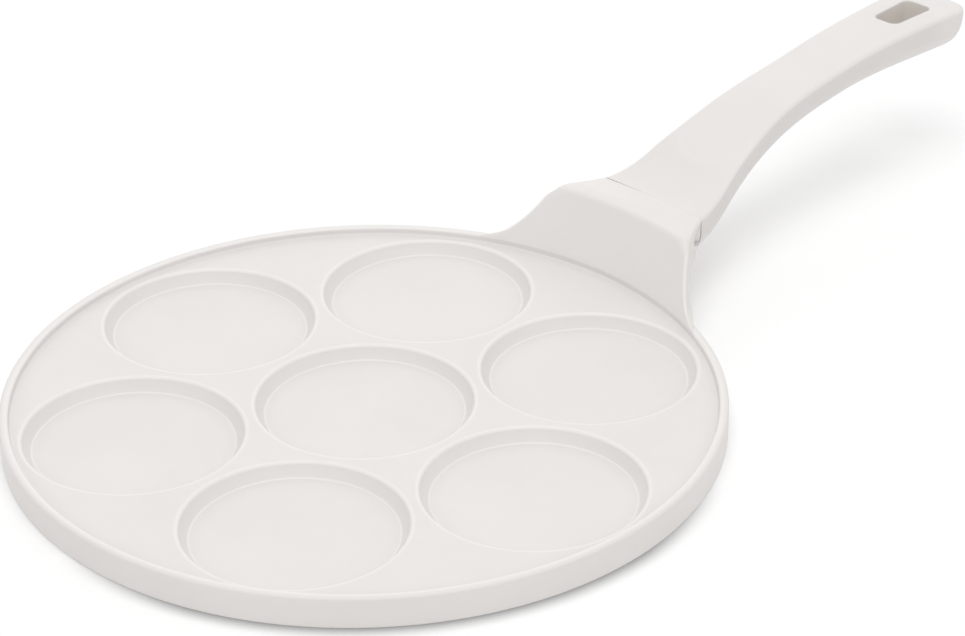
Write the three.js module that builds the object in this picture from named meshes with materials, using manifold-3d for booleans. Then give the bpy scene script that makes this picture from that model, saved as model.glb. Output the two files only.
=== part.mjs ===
// A pancake pan: a cast round body with seven shallow cups, a steel disc pressed into its base,
// and a moulded handle that one screw holds on the casting's tenon.
// Millimetres. The origin is the centre of the base, +Z is up and the handle points along +X.
import * as THREE from "three";
import { mergeVertices } from "three/addons/utils/BufferGeometryUtils.js";
import Module from "manifold-3d";

// Cups: as wide as the plate, the lands and the rim's margin leave room for
const CUP_DEPTH = 4.6;
const CUP_WALL_LEAN = 3.2; // the wall comes in by this much from the top edge to the floor
const CUP_EDGE_ROUND = 1.0;
const CUP_FLOOR_ROUND = 2.0;
const CUP_LAND = 5.0; // metal between two neighbouring cups
const CUPS_AROUND = 6; // round the middle cup

// Round plate and its lip
const PAN_DIAMETER = 265;
const FLOOR_THICKNESS = 5.0; // metal under a cup
const RIM_MARGIN = 3.2; // from an outer cup to the foot of the lip
const LIP_HEIGHT = 2.6; // above the face between the cups
const LIP_WIDTH = 3.0; // across the top
const LIP_LEAN = 0.7; // the inner face leans out by this much
const LIP_ROUND = 1.2;
const BASE_EDGE_ROUND = 1.2;

// Steel disc in the base
const DISC_MARGIN = 36; // from the pan's wall to the disc's edge
const DISC_THICKNESS = 0.8;
const STUD_RADIUS = 3.5; // studs of the casting that fill the disc's holes
const STUD_PITCH = 24; // from one ring of studs to the next
const STUDS_FIRST_RING = 6; // each further ring has as many more
const STUD_EDGE = 8; // least distance from a stud's centre to the disc's edge

// Saddle that rises from the lip and carries the handle
const SADDLE_LENGTH = 23.5; // from the pan's wall to the seam
const SADDLE_RISE = 22.2; // above the lip
const SADDLE_LEAN = 9.8; // the front face leans back by this much
const SADDLE_TOP_WIDTH = 73; // across the ridge
const SADDLE_TOP_FLARE = 0.55; // how fast each side spreads with every millimetre down
const SADDLE_NECK_WIDTH = 97; // where the flare into the lip begins
const SADDLE_NECK_RISE = 4;
const SADDLE_NECK_FLARE = 1.1;
const SADDLE_FOOT_WIDTH = 116; // where the flare ends in the lip
const SADDLE_FOOT_FLARE = 4;
const SADDLE_SEAM_WIDTH = 52;
const SADDLE_BOW = 4; // hollow of the side wall, seen from above, at the foot
const SADDLE_TOE = 5.5; // height of the underside where it leaves the pan's wall
const SADDLE_WALL = 3.6;
const SADDLE_SIDE_WALL = 8.5; // from a front corner to the hollow inside, across the saddle
const SADDLE_KEEL = 0.1; // least share of its half width left below the rounded underside
const RIDGE_ROUND = 2.2;
const CORNER_ROUND = 4.5; // upright corners at the front of the saddle
const HEEL_ROUND = 10; // upright corners at the seam, below the top edge
const HEEL_EDGE = 1; // the same corners at the top edge
const HEEL_DROP = 5; // depth over which they grow
const POCKET_ROUND = 0.5; // upper edge of the two hollows inside the saddle

// Handle: places along it count from the seam, rises from the saddle's top
const HANDLE_LENGTH = 178.2; // from the seam to the tip
const RAMP_AT = 21; // steepest stretch of the top line
const RAMP_RISE = 6.1;
const RAMP_SLOPE = 0.56;
const BEND_AT = 46; // where the ramp eases into the grip
const BEND_RISE = 16.5;
const BEND_SLOPE = 0.36;
const GRIP_FROM_TIP = 78;
const GRIP_RISE = 26.3;
const GRIP_SLOPE = 0.13;
const BUTT_FROM_TIP = 24; // highest line, beside the hang slot
const BUTT_RISE = 28.9;
const TIP_FALL = 0.4; // from there to the tip
const ROOT_WIDTH = 50;
const ROOT_TAPER = 0.12; // how fast each side draws in
const NECK_AT = 31;
const NECK_WIDTH = 38.2;
const NECK_TAPER = 0.18;
const WAIST_FROM_TIP = 88;
const WAIST_WIDTH = 28.2;
const BUTT_WIDTH = 31.6;
const BUTT_SPREAD = 0.04;
const TIP_WIDTH = 32.8; // before its corners are rounded
const ROOT_DEPTH = 17.2; // also the saddle's depth at the seam
const RAMP_DEPTH = 17.8;
const THIN_FROM_TIP = 108;
const THIN_DEPTH = 14.2;
const STERN_DEPTH = 17.4;
const HANDLE_CROWN = 0.5; // rise of the top across its width
const TOP_EDGE_ROUND = 2.5;
const BELLY_ROUND = 11; // lower edges of the handle and of the saddle
const TIP_CORNER = 7.5; // corners of the tip, seen from above
const STERN_LENGTH = 10; // the underside curves up to the tip over this length
const TIP_DEPTH = 4.5; // of the tip's end face

// Hang slot
const SLOT_LENGTH = 23.5;
const SLOT_FRONT_WIDTH = 11.6;
const SLOT_BACK_WIDTH = 13.4;
const SLOT_CORNER = 3;
const SLOT_END_WALL = 13.7; // from the slot to the tip

// Tenon of the casting, in the handle's socket
const TENON_LENGTH = 30;
const TENON_WIDTH = 20;
const TENON_THICKNESS = 4.6;
const TENON_DROP = 7.6; // its middle at the seam, below the saddle's top
const TENON_TILT = THREE.MathUtils.degToRad(19);
const TENON_CORNER = 1.2;
const SCREW_REACH = 18.5; // from the seam to the screw, along the tenon

// Screw and washers
const SCREW_RADIUS = 2.5;
const HEAD_RADIUS = 4.6;
const HEAD_HEIGHT = 2.4;
const HEAD_ROUND = 0.8;
const POINT_CHAMFER = 0.8;
const DRIVE_WIDTH = 1.1; // arms of the cross recess
const DRIVE_SPAN = 5.2;
const DRIVE_DEPTH = 1.4;
const FLAT_WASHER_RADIUS = 5.4;
const FLAT_WASHER_THICKNESS = 0.7;
const LOCK_WASHER_RADIUS = 4.4;
const LOCK_WASHER_THICKNESS = 1.0;
const LOCK_WASHER_SLIT = 1.2;
const SEAT_WALL = 1.8; // of the handle between its socket and the flat washer

// Clearances
const PRESS_GAP = 0.3; // disc in its recess and round its studs
const SEAM_GAP = 0.4; // handle to saddle
const SOCKET_GAP = 0.3; // handle to tenon
const THREAD_GAP = 0.3; // screw in its holes
const POCKET_GAP = 0.8; // washer in the handle's pocket
const STACK_GAP = 0.1; // between washers, head and seat

// Fineness of the facets
const RIM_SEGMENTS = 80;
const CUP_SEGMENTS = 36;
const HOLE_SEGMENTS = 10;
const SCREW_SEGMENTS = 20;
const ARC_STEPS = 2;
const FRONT_STEPS = 7;
const SIDE_STEPS = 6;
const SADDLE_LEVELS = 9;
const LEVEL_CROWDING = 1.5; // draws the levels together towards the flare
const HANDLE_STATIONS = 26;
const STERN_STEPS = 6;
const BELLY_STEPS = 5;
const SLOT_STEPS = 4;
const MERGE = 1e-4;

// Sizes that follow
const faceZ = FLOOR_THICKNESS + CUP_DEPTH;
const lipZ = faceZ + LIP_HEIGHT;
const panRadius = PAN_DIAMETER / 2;
const lipInner = panRadius - LIP_WIDTH;
const lipFoot = lipInner - LIP_LEAN;
const crowding = 1 / Math.min(1, 2 * Math.sin(Math.PI / CUPS_AROUND)); // more than six stand further out
const cupRadius = (lipFoot - RIM_MARGIN - crowding * CUP_LAND) / (2 * crowding + 1); // at the top edge
const cupPitch = crowding * (2 * cupRadius + CUP_LAND);
const discRadius = panRadius - DISC_MARGIN;
const saddleZ = lipZ + SADDLE_RISE;
const seamX = panRadius + SADDLE_LENGTH;
const undersideSlope = (saddleZ - ROOT_DEPTH - SADDLE_TOE) / SADDLE_LENGTH;
const beyond = 2 * panRadius; // reaches past every face of the saddle

const wasm = await Module();
wasm.setup();

// A closed geometry as a solid that can be joined and cut.
function solid(geometry) {
  const bare = new THREE.BufferGeometry();
  bare.setAttribute("position", geometry.getAttribute("position"));
  bare.setIndex(geometry.index);
  const merged = mergeVertices(bare, MERGE);
  const corners = merged.index.array;
  const triangles = [];
  for (let i = 0; i < corners.length; i += 3) {
    const [a, b, c] = corners.slice(i, i + 3);
    if (a !== b && b !== c && c !== a) triangles.push(a, b, c);
  }
  return new wasm.Manifold(
    new wasm.Mesh({
      numProp: 3,
      vertProperties: merged.getAttribute("position").array,
      triVerts: new Uint32Array(triangles),
    }),
  );
}

function geometryOf(body) {
  const { vertProperties, triVerts } = body.getMesh();
  const geometry = new THREE.BufferGeometry();
  geometry.setAttribute("position", new THREE.BufferAttribute(vertProperties, 3));
  geometry.setIndex(new THREE.BufferAttribute(triVerts, 1));
  geometry.computeVertexNormals();
  return geometry;
}

function piece(name, geometry, finish) {
  const mesh = new THREE.Mesh(geometry, new THREE.MeshStandardMaterial(finish));
  mesh.name = name;
  return mesh;
}

// Outline through corners given as [x, y, radius], each rounded by its radius.
function rounded(corners, steps = ARC_STEPS) {
  const points = [];
  corners.forEach(([x, y, radius = 0], i) => {
    const corner = new THREE.Vector2(x, y);
    if (radius === 0) {
      points.push(corner);
      return;
    }
    const before = new THREE.Vector2(...corners.at(i - 1)).sub(corner).normalize();
    const after = new THREE.Vector2(...corners[(i + 1) % corners.length]).sub(corner).normalize();
    const half = Math.acos(before.dot(after)) / 2;
    const start = corner.clone().addScaledVector(before, radius / Math.tan(half));
    const end = corner.clone().addScaledVector(after, radius / Math.tan(half));
    const middle = before.clone().add(after).normalize().multiplyScalar(radius / Math.sin(half));
    const centre = corner.clone().add(middle);
    const from = start.sub(centre).angle();
    const sweep = Math.atan2(Math.sin(end.sub(centre).angle() - from), Math.cos(end.angle() - from));
    for (let k = 0; k <= steps; k += 1) {
      const angle = from + (sweep * k) / steps;
      points.push(new THREE.Vector2(Math.cos(angle), Math.sin(angle)).multiplyScalar(radius).add(centre));
    }
  });
  return points;
}

// Solid of revolution about Z; the profile holds (radius, height) and runs upwards on the outside.
function turned(profile, segments) {
  return new THREE.LatheGeometry(profile, segments).rotateX(Math.PI / 2);
}

function circle(radius, segments, x = 0, y = 0) {
  return Array.from({ length: segments }, (_, i) => {
    const angle = (2 * Math.PI * i) / segments;
    return new THREE.Vector2(x + radius * Math.cos(angle), y + radius * Math.sin(angle));
  });
}

function cylinder(radius, bottom, top, segments) {
  const shape = new THREE.Shape(circle(radius, segments));
  const options = { depth: top - bottom, bevelEnabled: false };
  return new THREE.ExtrudeGeometry(shape, options).translate(0, 0, bottom);
}

// Closed skin through rings of equally many points, with a fan over each end.
// Each ring runs anticlockwise as seen from the last ring's side.
function loft(rings) {
  const count = rings[0].length;
  const last = (rings.length - 1) * count;
  const points = rings.flat();
  const middles = [rings[0], rings.at(-1)].map((ring) => {
    const sum = ring.reduce((total, p) => total.add(p), new THREE.Vector3());
    return sum.divideScalar(count);
  });
  const [first, final] = [points.length, points.length + 1];
  const faces = [];
  for (let i = 0; i < count; i += 1) {
    const next = (i + 1) % count;
    faces.push(first, next, i, final, last + i, last + next);
    for (let row = 0; row < last; row += count) {
      faces.push(row + i, row + next, row + count + next);
      faces.push(row + i, row + count + next, row + count + i);
    }
  }
  return new THREE.BufferGeometry().setFromPoints([...points, ...middles]).setIndex(faces);
}

// Smooth curve through knots given as [place, value, slope].
function curve(knots, place) {
  const last = knots.length - 2;
  const found = knots.findIndex((knot, i) => i <= last && place < knots[i + 1][0]);
  const i = found < 0 ? last : found;
  const [x0, y0, m0] = knots[i];
  const [x1, y1, m1] = knots[i + 1];
  const span = x1 - x0;
  const t = THREE.MathUtils.clamp((place - x0) / span, 0, 1);
  const rise = t * t * (3 - 2 * t);
  const leave = t * (1 - t) ** 2 * span * m0;
  const arrive = t * t * (1 - t) * span * m1;
  return y0 + (y1 - y0) * rise + leave - arrive;
}

// How far a side is drawn in by a rounded edge, at a height above the surface that the edge meets.
function tuck(height, radius) {
  const below = THREE.MathUtils.clamp(radius - height, 0, radius);
  return radius - Math.sqrt(radius * radius - below * below);
}

// Places of the cups: one in the middle, the rest round it, with the handle between two of them.
function cupPlaces() {
  const places = [new THREE.Vector2()];
  for (let i = 0; i < CUPS_AROUND; i += 1) {
    const angle = ((i + 0.5) * 2 * Math.PI) / CUPS_AROUND;
    places.push(new THREE.Vector2(cupPitch * Math.cos(angle), cupPitch * Math.sin(angle)));
  }
  return places;
}

// Places of the studs, in rings round the middle of the disc.
function studPlaces() {
  const places = [];
  for (let ring = 1; ring * STUD_PITCH <= discRadius - STUD_EDGE; ring += 1) {
    places.push(...circle(ring * STUD_PITCH, STUDS_FIRST_RING * ring));
  }
  return places;
}

function cupSpace() {
  const above = lipZ + LIP_HEIGHT;
  const profile = rounded([
    [0, FLOOR_THICKNESS],
    [cupRadius - CUP_WALL_LEAN, FLOOR_THICKNESS, CUP_FLOOR_ROUND],
    [cupRadius, faceZ, CUP_EDGE_ROUND],
    [cupRadius + CUP_EDGE_ROUND, faceZ],
    [cupRadius + CUP_EDGE_ROUND, above],
    [0, above],
  ]);
  return turned(profile, CUP_SEGMENTS);
}

function roundPlate() {
  const recess = discRadius + PRESS_GAP;
  const profile = rounded([
    [0, DISC_THICKNESS],
    [recess, DISC_THICKNESS],
    [recess, 0],
    [panRadius, 0, BASE_EDGE_ROUND],
    [panRadius, lipZ, LIP_ROUND],
    [lipInner, lipZ, LIP_ROUND],
    [lipFoot, faceZ],
    [0, faceZ],
  ]);
  return turned(profile, RIM_SEGMENTS);
}

// Half of the saddle's outline at one height, from its front middle to the middle of the seam.
// The inset is the wall's thickness for the pocket inside, and zero for the outside.
function saddleHalf(z, edge, inset) {
  const rise = Math.max(z - lipZ, 0);
  const wall = inset * Math.hypot(1, SADDLE_LEAN / SADDLE_RISE);
  const face = lipInner + (SADDLE_LEAN * rise) / SADDLE_RISE + edge + wall;
  const radius = inset > 0 ? Math.max(face, panRadius) : face;
  const flare = [
    [0, SADDLE_FOOT_WIDTH / 2, -SADDLE_FOOT_FLARE],
    [SADDLE_NECK_RISE, SADDLE_NECK_WIDTH / 2, -SADDLE_NECK_FLARE],
    [SADDLE_RISE, SADDLE_TOP_WIDTH / 2, -SADDLE_TOP_FLARE],
  ];
  const sideWall = inset > 0 ? SADDLE_SIDE_WALL : 0;
  const cornerY = curve(flare, rise) - edge - sideWall;
  const corner = new THREE.Vector2(Math.sqrt(radius ** 2 - cornerY ** 2), cornerY);
  const heel = new THREE.Vector2(seamX - inset, SADDLE_SEAM_WIDTH / 2 - edge - wall);
  const along = heel.clone().sub(corner);
  const bow = SADDLE_BOW * (1 - rise / SADDLE_RISE);
  const side = new THREE.QuadraticBezierCurve(
    corner,
    corner.clone().lerp(heel, 0.5).add(new THREE.Vector2(along.y, -along.x).setLength(bow)),
    heel,
  );
  const arcEnd = Math.asin(cornerY / radius) - CORNER_ROUND / radius;
  const arcPoint = (angle) => new THREE.Vector2(radius * Math.cos(angle), radius * Math.sin(angle));
  const sideStart = CORNER_ROUND / along.length();
  const grown = THREE.MathUtils.smoothstep(saddleZ - z, 0, HEEL_DROP);
  const heelRound = HEEL_EDGE + (HEEL_ROUND - HEEL_EDGE) * grown;
  const sideEnd = 1 - heelRound / along.length();
  const cornerBend = new THREE.QuadraticBezierCurve(arcPoint(arcEnd), corner, side.getPoint(sideStart));
  const seamPoint = new THREE.Vector2(heel.x, heel.y - heelRound);
  const heelBend = new THREE.QuadraticBezierCurve(side.getPoint(sideEnd), heel, seamPoint);
  const steps = (from, to, count) =>
    Array.from({ length: count }, (_, i) => from + ((to - from) * i) / count);
  const outline = [
    ...steps(0, arcEnd, FRONT_STEPS).map(arcPoint),
    ...steps(0, 1, ARC_STEPS).map((t) => cornerBend.getPoint(t)),
    ...steps(sideStart, sideEnd, SIDE_STEPS).map((t) => side.getPoint(t)),
    ...steps(0, 1, ARC_STEPS).map((t) => heelBend.getPoint(t)),
    seamPoint,
    new THREE.Vector2(heel.x, 0),
  ];
  const upright = 1 / Math.hypot(1, undersideSlope);
  return outline.map((p) => {
    const underside = SADDLE_TOE + undersideSlope * (p.x - panRadius);
    const drawn = p.y - tuck((z - underside) * upright - inset, BELLY_ROUND);
    return new THREE.Vector3(p.x, p.y > 0 ? Math.max(drawn, SADDLE_KEEL * p.y) : 0, z);
  });
}

function saddleRing(z, edge, inset) {
  const half = saddleHalf(z, edge, inset);
  const other = half.slice(1, -1).map((p) => new THREE.Vector3(p.x, -p.y, p.z));
  return [half[0], ...other, half.at(-1), ...half.slice(1, -1).reverse()];
}

// Levels from below the lip to the ridge, closest where the flare bends most.
function saddleSkin(inset) {
  const top = saddleZ - inset;
  const round = inset > 0 ? POCKET_ROUND : RIDGE_ROUND;
  const rings = [FLOOR_THICKNESS, faceZ, lipZ].map((z) => saddleRing(z, 0, inset));
  for (let i = 1; i <= SADDLE_LEVELS; i += 1) {
    const z = lipZ + (top - round - lipZ) * (i / SADDLE_LEVELS) ** LEVEL_CROWDING;
    rings.push(saddleRing(z, 0, inset));
  }
  for (let k = 1; k <= ARC_STEPS; k += 1) {
    const angle = (k * Math.PI) / 2 / ARC_STEPS;
    rings.push(saddleRing(top - round + round * Math.sin(angle), round * (1 - Math.cos(angle)), inset));
  }
  return loft(rings);
}

// Everything under the saddle's sloping underside.
function spaceUnderSaddle() {
  const block = new THREE.BoxGeometry(beyond, beyond, beyond);
  block.translate(0, 0, -beyond / 2);
  block.rotateY(-Math.atan(undersideSlope));
  return block.translate(panRadius, 0, SADDLE_TOE);
}

// Frame of the tenon: X runs along it from the seam, Z is square to its broad faces.
const tenonFrame = new THREE.Matrix4()
  .makeTranslation(seamX, 0, saddleZ - TENON_DROP)
  .multiply(new THREE.Matrix4().makeRotationY(-TENON_TILT));

// Bar along the tenon with rounded edges, grown all round by a gap.
function tenonBar(from, to, gap) {
  const y = TENON_WIDTH / 2 + gap;
  const z = TENON_THICKNESS / 2 + gap;
  const outline = rounded([
    [-y, -z, TENON_CORNER],
    [y, -z, TENON_CORNER],
    [y, z, TENON_CORNER],
    [-y, z, TENON_CORNER],
  ]);
  const bar = new THREE.ExtrudeGeometry(new THREE.Shape(outline), {
    depth: to - from,
    bevelEnabled: false,
  });
  const axes = new THREE.Matrix4().makeBasis(
    new THREE.Vector3(0, 1, 0),
    new THREE.Vector3(0, 0, 1),
    new THREE.Vector3(1, 0, 0),
  );
  return bar.applyMatrix4(axes).translate(from, 0, 0).applyMatrix4(tenonFrame);
}

// Round space on the screw's line, between two heights in the tenon's frame.
function screwSpace(radius, bottom, top) {
  return cylinder(radius, bottom, top, SCREW_SEGMENTS)
    .translate(SCREW_REACH, 0, 0)
    .applyMatrix4(tenonFrame);
}

function panBody() {
  const rib = new THREE.BoxGeometry(panRadius, TENON_WIDTH, beyond).translate(panRadius, 0, 0);
  const pockets = solid(saddleSkin(SADDLE_WALL)).subtract(solid(rib));
  const saddle = solid(saddleSkin(0)).subtract(pockets).subtract(solid(spaceUnderSaddle()));
  let body = solid(roundPlate()).add(saddle);
  for (const place of cupPlaces()) {
    body = body.subtract(solid(cupSpace().translate(place.x, place.y, 0)));
  }
  for (const place of studPlaces()) {
    const stud = cylinder(STUD_RADIUS, 0, FLOOR_THICKNESS / 2, HOLE_SEGMENTS);
    body = body.add(solid(stud.translate(place.x, place.y, 0)));
  }
  body = body.add(solid(tenonBar(-SADDLE_WALL, TENON_LENGTH, 0)));
  return geometryOf(body.subtract(solid(screwSpace(SCREW_RADIUS + THREAD_GAP, -TENON_WIDTH, TENON_WIDTH))));
}

function baseDisc() {
  const shape = new THREE.Shape(circle(discRadius, RIM_SEGMENTS));
  shape.holes = studPlaces().map(
    (place) => new THREE.Path(circle(STUD_RADIUS + PRESS_GAP, HOLE_SEGMENTS, place.x, place.y)),
  );
  return new THREE.ExtrudeGeometry(shape, { depth: DISC_THICKNESS, bevelEnabled: false });
}

// Top line, half width and depth of the handle along its length.
const buttAt = HANDLE_LENGTH - BUTT_FROM_TIP;
const topLine = [
  [0, 0, 0],
  [RAMP_AT, RAMP_RISE, RAMP_SLOPE],
  [BEND_AT, BEND_RISE, BEND_SLOPE],
  [HANDLE_LENGTH - GRIP_FROM_TIP, GRIP_RISE, GRIP_SLOPE],
  [buttAt, BUTT_RISE, 0],
  [HANDLE_LENGTH, BUTT_RISE - TIP_FALL, 0],
];
const halfWidth = [
  [0, ROOT_WIDTH / 2, -ROOT_TAPER],
  [NECK_AT, NECK_WIDTH / 2, -NECK_TAPER],
  [HANDLE_LENGTH - WAIST_FROM_TIP, WAIST_WIDTH / 2, 0],
  [buttAt, BUTT_WIDTH / 2, BUTT_SPREAD],
  [HANDLE_LENGTH, TIP_WIDTH / 2, 0],
];
const depth = [
  [0, ROOT_DEPTH, 0],
  [RAMP_AT, RAMP_DEPTH, 0],
  [HANDLE_LENGTH - THIN_FROM_TIP, THIN_DEPTH, 0],
  [HANDLE_LENGTH - STERN_LENGTH, STERN_DEPTH, 0],
];

// Section across the handle: crowned top, tight upper edges and a round belly.
function handleRing(along) {
  const top = saddleZ + curve(topLine, along);
  const corner = Math.max(along - (HANDLE_LENGTH - TIP_CORNER), 0);
  const half = curve(halfWidth, along) - tuck(TIP_CORNER - corner, TIP_CORNER);
  const stern = Math.max(along - (HANDLE_LENGTH - STERN_LENGTH), 0) / STERN_LENGTH;
  const tall = TIP_DEPTH + (curve(depth, along) - TIP_DEPTH) * Math.sqrt(1 - stern ** 2);
  const edge = Math.min(TOP_EDGE_ROUND, tall / 2);
  const belly = Math.min(BELLY_ROUND, half - edge, tall - edge);
  const outline = rounded(
    [
      [-half, top - tall, belly],
      [half, top - tall, belly],
      [half, top, edge],
      [half / 2, top],
      [0, top],
      [-half / 2, top],
      [-half, top, edge],
    ],
    BELLY_STEPS,
  );
  return outline.map(({ x, y }) => {
    const lift = y > top - edge ? HANDLE_CROWN * (1 - (x / half) ** 2) : 0;
    return new THREE.Vector3(seamX + along, x, y + lift);
  });
}

function handleSkin() {
  const straight = HANDLE_LENGTH - STERN_LENGTH;
  const rings = [];
  for (let i = 0; i <= HANDLE_STATIONS; i += 1) {
    rings.push(handleRing(SEAM_GAP + ((straight - SEAM_GAP) * i) / HANDLE_STATIONS));
  }
  for (let k = 1; k <= STERN_STEPS; k += 1) {
    rings.push(handleRing(straight + STERN_LENGTH * Math.sin((k * Math.PI) / 2 / STERN_STEPS)));
  }
  return loft(rings);
}

function hangSlot() {
  const back = seamX + HANDLE_LENGTH - SLOT_END_WALL;
  const front = back - SLOT_LENGTH;
  const outline = rounded(
    [
      [front, -SLOT_FRONT_WIDTH / 2, SLOT_CORNER],
      [back, -SLOT_BACK_WIDTH / 2, SLOT_CORNER],
      [back, SLOT_BACK_WIDTH / 2, SLOT_CORNER],
      [front, SLOT_FRONT_WIDTH / 2, SLOT_CORNER],
    ],
    SLOT_STEPS,
  );
  const reach = saddleZ + 2 * BUTT_RISE;
  return new THREE.ExtrudeGeometry(new THREE.Shape(outline), { depth: reach, bevelEnabled: false });
}

// Heights in the tenon's frame of the seat under the flat washer, and of what is stacked on it.
const seat = -(TENON_THICKNESS / 2 + SOCKET_GAP + SEAT_WALL);
const flatWasherTop = seat - STACK_GAP;
const lockWasherTop = flatWasherTop - FLAT_WASHER_THICKNESS - STACK_GAP;
const headTop = lockWasherTop - LOCK_WASHER_THICKNESS - STACK_GAP;

function handleGrip() {
  const socket = tenonBar(-SADDLE_WALL, TENON_LENGTH + SOCKET_GAP, SOCKET_GAP);
  const pocket = screwSpace(FLAT_WASHER_RADIUS + POCKET_GAP, seat - ROOT_DEPTH, seat);
  const screwHole = screwSpace(SCREW_RADIUS + THREAD_GAP, seat - ROOT_DEPTH, 0);
  const grip = solid(handleSkin())
    .subtract(solid(socket))
    .subtract(solid(pocket))
    .subtract(solid(screwHole))
    .subtract(solid(hangSlot()));
  return geometryOf(grip);
}

function handleScrew() {
  const shankTop = TENON_THICKNESS / 2;
  const underHead = headTop - HEAD_HEIGHT;
  const profile = rounded([
    [0, underHead],
    [HEAD_RADIUS, underHead, HEAD_ROUND],
    [HEAD_RADIUS, headTop],
    [SCREW_RADIUS, headTop],
    [SCREW_RADIUS, shankTop - POINT_CHAMFER],
    [SCREW_RADIUS - POINT_CHAMFER, shankTop],
    [0, shankTop],
  ]);
  let screw = solid(turned(profile, SCREW_SEGMENTS));
  for (const turn of [0, Math.PI / 2]) {
    const arm = new THREE.BoxGeometry(DRIVE_SPAN, DRIVE_WIDTH, 2 * DRIVE_DEPTH);
    screw = screw.subtract(solid(arm.rotateZ(turn).translate(0, 0, underHead)));
  }
  return geometryOf(screw);
}

function flatWasher() {
  const shape = new THREE.Shape(circle(FLAT_WASHER_RADIUS, SCREW_SEGMENTS));
  shape.holes = [new THREE.Path(circle(SCREW_RADIUS + THREAD_GAP, SCREW_SEGMENTS))];
  const washer = new THREE.ExtrudeGeometry(shape, { depth: FLAT_WASHER_THICKNESS, bevelEnabled: false });
  return washer.translate(0, 0, flatWasherTop - FLAT_WASHER_THICKNESS);
}

// Ring with a slit, which springs the head against turning back.
function lockWasher() {
  const bore = SCREW_RADIUS + THREAD_GAP;
  const outer = Math.asin(LOCK_WASHER_SLIT / 2 / LOCK_WASHER_RADIUS);
  const inner = Math.asin(LOCK_WASHER_SLIT / 2 / bore);
  const shape = new THREE.Shape();
  shape.absarc(0, 0, LOCK_WASHER_RADIUS, outer, 2 * Math.PI - outer, false);
  shape.absarc(0, 0, bore, 2 * Math.PI - inner, inner, true);
  const washer = new THREE.ExtrudeGeometry(shape, {
    depth: LOCK_WASHER_THICKNESS,
    bevelEnabled: false,
    curveSegments: SCREW_SEGMENTS / 2,
  });
  return washer.translate(0, 0, lockWasherTop - LOCK_WASHER_THICKNESS);
}

const coat = { color: 0xece8e5, roughness: 0.5, metalness: 0 };
const moulding = { color: 0xebe7e4, roughness: 0.55, metalness: 0 };
const steel = { color: 0xb4b6b8, roughness: 0.35, metalness: 1 };

const fastening = new THREE.Group();
fastening.applyMatrix4(tenonFrame);
fastening.translateX(SCREW_REACH);
fastening.add(
  piece("handle_screw", handleScrew(), steel),
  piece("flat_washer", flatWasher(), steel),
  piece("lock_washer", lockWasher(), steel),
);

const pan = new THREE.Group();
pan.add(
  piece("pan_body", panBody(), coat),
  piece("base_disc", baseDisc(), steel),
  piece("handle_grip", handleGrip(), moulding),
  fastening,
);

export default pan;
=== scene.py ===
# %% [markdown]
# # A pancake pan with seven cups
# The pan is a casting with a pale satin coat, a steel disc pressed into its base and a
# moulded handle on one screw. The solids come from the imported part, in metres. Each step
# makes one piece over its solid, with finer rounds than the solids carry.

# %% Load the frame
import math

import bmesh
import bpy
from mathutils import Matrix, Vector


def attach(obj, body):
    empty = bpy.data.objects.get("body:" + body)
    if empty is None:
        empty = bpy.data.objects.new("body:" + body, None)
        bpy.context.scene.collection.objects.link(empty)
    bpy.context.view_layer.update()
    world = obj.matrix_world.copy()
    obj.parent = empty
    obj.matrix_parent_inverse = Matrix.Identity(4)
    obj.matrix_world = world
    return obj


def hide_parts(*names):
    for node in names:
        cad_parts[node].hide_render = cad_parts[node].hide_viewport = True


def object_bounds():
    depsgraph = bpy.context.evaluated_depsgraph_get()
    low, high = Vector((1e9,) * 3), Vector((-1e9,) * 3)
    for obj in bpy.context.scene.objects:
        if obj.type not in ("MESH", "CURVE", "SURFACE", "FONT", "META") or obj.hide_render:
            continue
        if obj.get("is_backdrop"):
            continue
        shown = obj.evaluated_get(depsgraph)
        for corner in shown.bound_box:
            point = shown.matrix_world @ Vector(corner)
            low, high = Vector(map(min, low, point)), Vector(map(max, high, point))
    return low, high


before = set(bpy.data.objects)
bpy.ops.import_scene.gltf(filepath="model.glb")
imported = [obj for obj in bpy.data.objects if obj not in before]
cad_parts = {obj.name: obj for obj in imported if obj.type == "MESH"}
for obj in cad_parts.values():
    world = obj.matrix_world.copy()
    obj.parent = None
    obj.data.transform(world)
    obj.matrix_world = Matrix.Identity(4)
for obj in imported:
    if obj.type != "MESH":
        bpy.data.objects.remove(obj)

cad_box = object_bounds()
print("solids in the frame:", sorted(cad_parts))

# %% [markdown]
# ## The camera
# The photograph looks down at about thirty degrees, with the handle going away to the
# upper right. A long lens keeps the cups nearly the same size from front to back. The
# camera is set by its place and its three axes, which is steadier than aiming it by eye.

# %% Camera
CAMERA_PLACE = Vector((-0.7050, -0.7632, 0.6284))
CAMERA_RIGHT = Vector((0.7026, -0.7116, -0.0078))
CAMERA_UP = Vector((0.3542, 0.3401, 0.8711))
LENS_MM = 123.63
SENSOR_MM = 36
CLIP_NEAR, CLIP_FAR = 0.05, 50


def make_camera():
    """A camera from its place and its axes."""
    data = bpy.data.cameras.new("camera")
    data.sensor_width = SENSOR_MM
    data.lens = LENS_MM
    data.clip_start, data.clip_end = CLIP_NEAR, CLIP_FAR
    right = CAMERA_RIGHT.normalized()
    back = right.cross(CAMERA_UP).normalized()
    up = back.cross(right)
    axes = Matrix((right, up, back)).transposed().to_4x4()
    camera = bpy.data.objects.new("camera", data)
    camera.matrix_world = Matrix.Translation(CAMERA_PLACE) @ axes
    bpy.context.scene.collection.objects.link(camera)
    bpy.context.scene.camera = camera
    return camera


camera = make_camera()
print("camera looks along", [round(x, 3) for x in -camera.matrix_world.col[2].xyz])

# %% [markdown]
# ## What all finishes share
# Pictures could carry the finishes, but they need UV maps and stretch on bent shapes.
# Noise on Object coordinates has its real size everywhere, because a piece's own
# coordinates are metres. The same few nodes serve every finish: a noise, a spread of its
# middle range to the numbers that are wanted, a mix of two colours, and a bump.

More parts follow.
